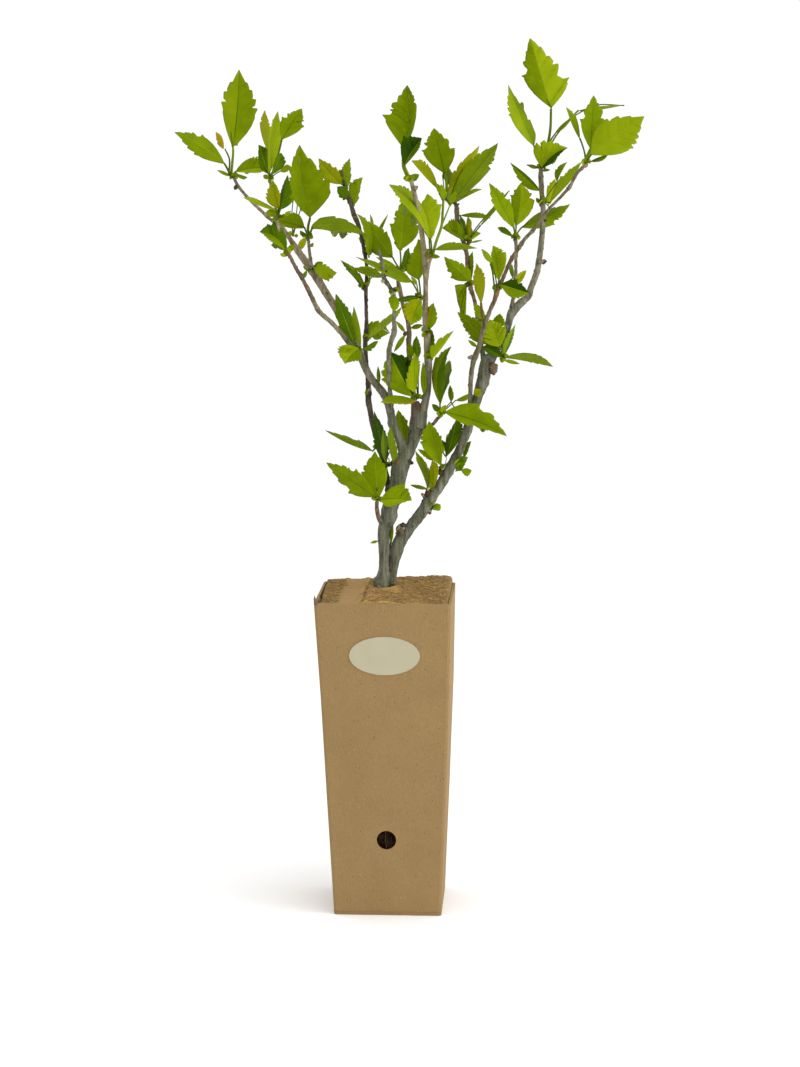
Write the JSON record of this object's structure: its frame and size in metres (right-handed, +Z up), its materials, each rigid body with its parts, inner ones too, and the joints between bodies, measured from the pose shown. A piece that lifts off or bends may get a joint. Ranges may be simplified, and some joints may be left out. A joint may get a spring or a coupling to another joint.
{
  "type": "potted hibiscus shrub",
  "caption": "Young hibiscus shrub with an open vase-shaped crown of lobed leaves on woody stems, standing in a tall tapering kraft carton with a blank oval label and a drainage hole.",
  "frame": {"origin": "centre of the carton's flat underside", "axes": "+Z up along the stems; the carton's panel with the label and the drainage hole faces -Y; +X to the right of that panel as it is looked at"},
  "size_m": [0.4462, 0.3102, 0.8367],
  "materials": {
    "carton": "matte",
    "label": "satin",
    "mulch_mat": "matte",
    "root_ball": "matte",
    "old_bark": "matte",
    "young_bark": "matte",
    "foliage": "satin"
  },
  "bodies": {
    "root": {"bough_back_centre": "young_bark", "bough_back_left": "young_bark", "bough_back_right": "young_bark", "bough_centre_front": "young_bark", "bough_front": "young_bark", "bough_left_back": "young_bark", "bough_left_front": "young_bark", "bough_right_back": "young_bark", "bough_right_front": "young_bark", "bough_right_inner": "young_bark", "carton": "carton", "foliage_back_centre": "foliage", "foliage_back_left_low": "foliage", "foliage_back_left_mid": "foliage", "foliage_back_left_top": "foliage", "foliage_back_left_upper": "foliage", "foliage_centre_low": "foliage", "foliage_centre_mid": "foliage", "foliage_centre_right": "foliage", "foliage_centre_spur": "foliage", "foliage_centre_top": "foliage", "foliage_centre_upper": "foliage", "foliage_front": "foliage", "foliage_hidden_centre": "foliage", "foliage_hidden_left": "foliage", "foliage_hidden_right": "foliage", "foliage_inner_mid": "foliage", "foliage_inner_upper": "foliage", "foliage_left_crotch": "foliage", "foliage_left_fork": "foliage", "foliage_left_inner": "foliage", "foliage_left_large": "foliage", "foliage_left_low": "foliage", "foliage_left_tip": "foliage", "foliage_left_upper": "foliage", "foliage_low_right": "foliage", "foliage_right_low": "foliage", "foliage_right_mid": "foliage", "foliage_right_side": "foliage", "foliage_right_tip": "foliage", "foliage_right_top": "foliage", "foliage_right_upper": "foliage", "foliage_stem_foot": "foliage", "foliage_stem_inner": "foliage", "foliage_stem_low": "foliage", "foliage_stem_outer": "foliage", "foliage_top_back": "foliage", "foliage_trunk_front": "foliage", "foliage_trunk_left": "foliage", "foliage_trunk_upper": "foliage", "label": "label", "mulch_mat": "mulch_mat", "root_ball": "root_ball", "spur_centre_front": "young_bark", "spur_left": "young_bark", "spur_low_right": "young_bark", "spur_trunk": "young_bark", "stem_right": "old_bark", "trunk": "old_bark"}
  },
  "joints": []
}
